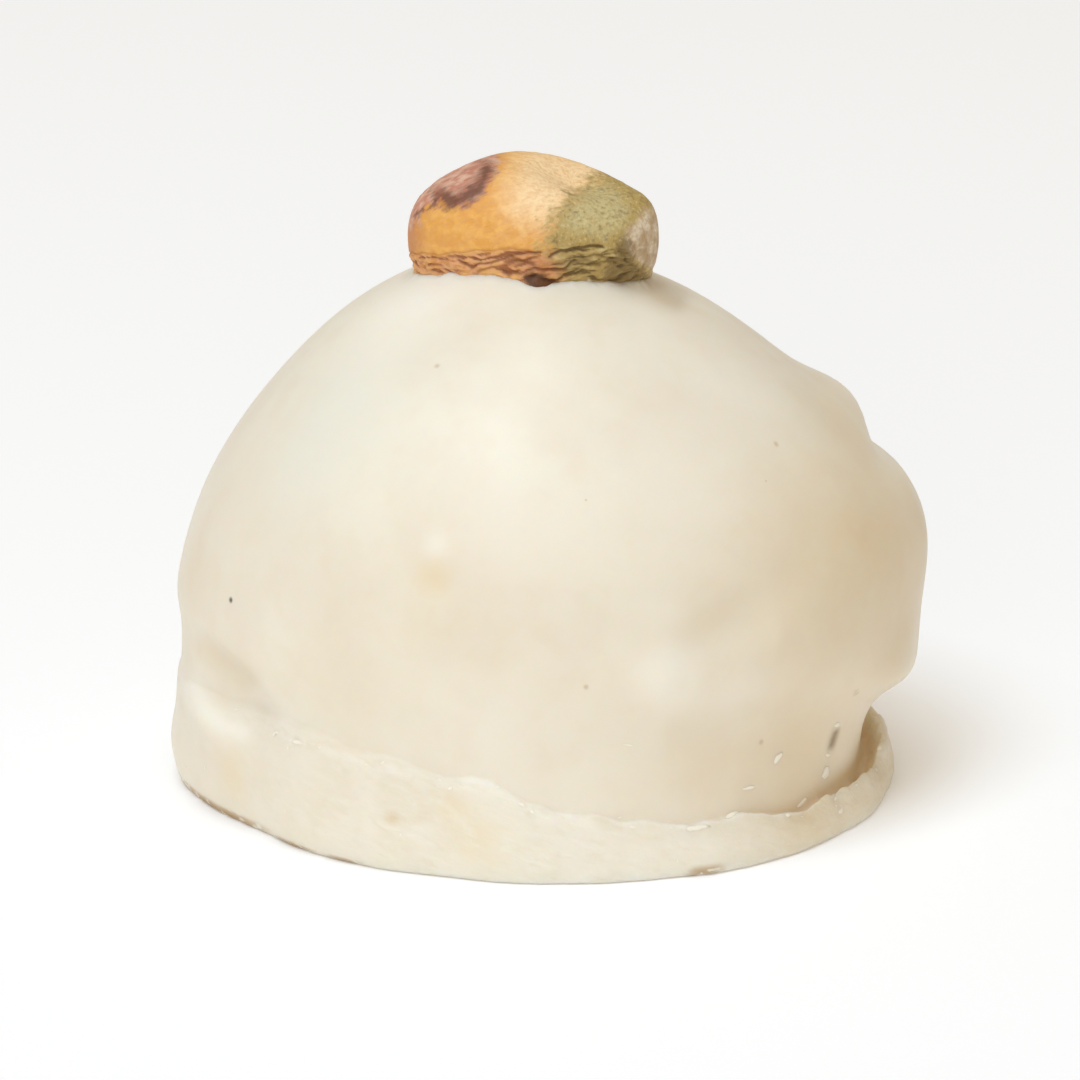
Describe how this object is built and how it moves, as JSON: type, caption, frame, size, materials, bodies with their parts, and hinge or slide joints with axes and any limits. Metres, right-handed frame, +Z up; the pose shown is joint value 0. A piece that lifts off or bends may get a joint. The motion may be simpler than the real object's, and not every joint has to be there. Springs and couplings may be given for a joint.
{
  "type": "fig bonbon",
  "caption": "Fig dipped whole in white chocolate, set on a run-down foot of the coating, with a pistachio kernel pressed into the top.",
  "frame": {"origin": "middle of the flat underside, on the surface that the bonbon stands on", "axes": "+X to the side that bulges out over the groove, along the longest side; -Y to the front; +Z up"},
  "size_m": [0.0379, 0.0353, 0.0319],
  "materials": {
    "white_chocolate": "satin",
    "pistachio_skin": "satin"
  },
  "bodies": {
    "root": {"coating": "white_chocolate", "pistachio": "pistachio_skin"}
  },
  "joints": []
}
